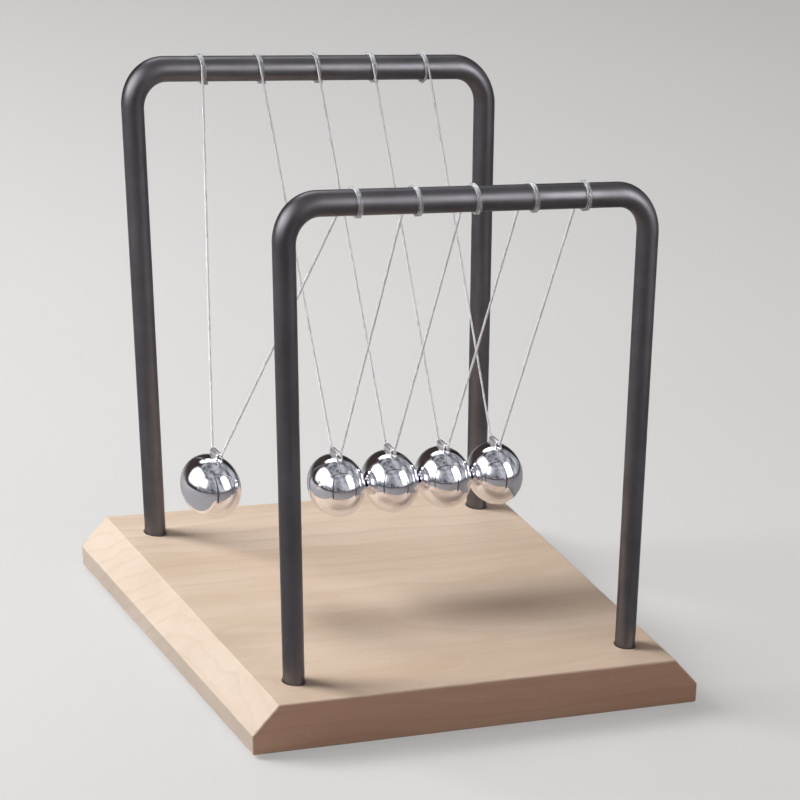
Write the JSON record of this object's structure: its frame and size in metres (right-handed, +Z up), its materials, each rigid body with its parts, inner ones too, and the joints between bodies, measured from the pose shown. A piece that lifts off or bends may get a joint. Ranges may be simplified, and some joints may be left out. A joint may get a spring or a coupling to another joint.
{
  "type": "newtons cradle",
  "caption": "Desk toy: a row of polished balls on V-shaped lines between two bent-rod frames on a bevelled wooden board, with the end ball drawn aside.",
  "frame": {"origin": "centre of the resting face, the plane of the four pads under the board", "axes": "+X along the row of balls, away from the drawn-aside ball; +Y from the front frame to the rear frame; +Z up"},
  "size_m": [0.14, 0.125, 0.1406],
  "materials": {
    "pale_wood": "pale close-grained hardwood, grain along the row of balls, clear matt lacquer, bevelled left and right ends",
    "dark_plated_rod": "bent steel rod with a dark gunmetal plating, satin to glossy",
    "mirror_chrome": "mirror-polished chromed steel ball",
    "eyelet_chrome": "bright plated tube",
    "nylon_line": "thin pale translucent nylon line",
    "pad_rubber": "thin dark self-adhesive rubber pad",
    "zinc_screw": "zinc-plated cross-recess screw"
  },
  "bodies": {
    "stand": {"base_board": "pale_wood", "front_frame": "dark_plated_rod", "rear_frame": "dark_plated_rod", "foot_pad_front_left": "pad_rubber", "foot_pad_front_right": "pad_rubber", "foot_pad_rear_left": "pad_rubber", "foot_pad_rear_right": "pad_rubber", "leg_screw_front_left": "zinc_screw", "leg_screw_front_right": "zinc_screw", "leg_screw_rear_left": "zinc_screw", "leg_screw_rear_right": "zinc_screw", "front_wrap_1": "nylon_line", "front_wrap_2": "nylon_line", "front_wrap_3": "nylon_line", "front_wrap_4": "nylon_line", "front_wrap_5": "nylon_line", "rear_wrap_1": "nylon_line", "rear_wrap_2": "nylon_line", "rear_wrap_3": "nylon_line", "rear_wrap_4": "nylon_line", "rear_wrap_5": "nylon_line"},
    "pendulum_1": {"ball_1": "mirror_chrome", "ball_1_eyelet": "eyelet_chrome", "ball_1_line": "nylon_line"},
    "pendulum_2": {"ball_2": "mirror_chrome", "ball_2_eyelet": "eyelet_chrome", "ball_2_line": "nylon_line"},
    "pendulum_3": {"ball_3": "mirror_chrome", "ball_3_eyelet": "eyelet_chrome", "ball_3_line": "nylon_line"},
    "pendulum_4": {"ball_4": "mirror_chrome", "ball_4_eyelet": "eyelet_chrome", "ball_4_line": "nylon_line"},
    "pendulum_5": {"ball_5": "mirror_chrome", "ball_5_eyelet": "eyelet_chrome", "ball_5_line": "nylon_line"}
  },
  "joints": [
    {"name": "ball_1_swing", "type": "hinge", "parent": "stand", "child": "pendulum_1", "pos_m": [-0.03312, 0, 0.13853], "axis": [0, -1, 0], "range_deg": [-47, 12.95]},
    {"name": "ball_2_swing", "type": "hinge", "parent": "stand", "child": "pendulum_2", "pos_m": [-0.01656, 0, 0.13853], "axis": [0, -1, 0], "range_deg": [-12.95, 0.03]},
    {"name": "ball_3_swing", "type": "hinge", "parent": "stand", "child": "pendulum_3", "pos_m": [0, 0, 0.13853], "axis": [0, -1, 0], "range_deg": [-0.03, 0.03]},
    {"name": "ball_4_swing", "type": "hinge", "parent": "stand", "child": "pendulum_4", "pos_m": [0.01656, 0, 0.13853], "axis": [0, -1, 0], "range_deg": [-0.03, 0.03]},
    {"name": "ball_5_swing", "type": "hinge", "parent": "stand", "child": "pendulum_5", "pos_m": [0.03312, 0, 0.13853], "axis": [0, -1, 0], "range_deg": [-0.03, 60]}
  ]
}
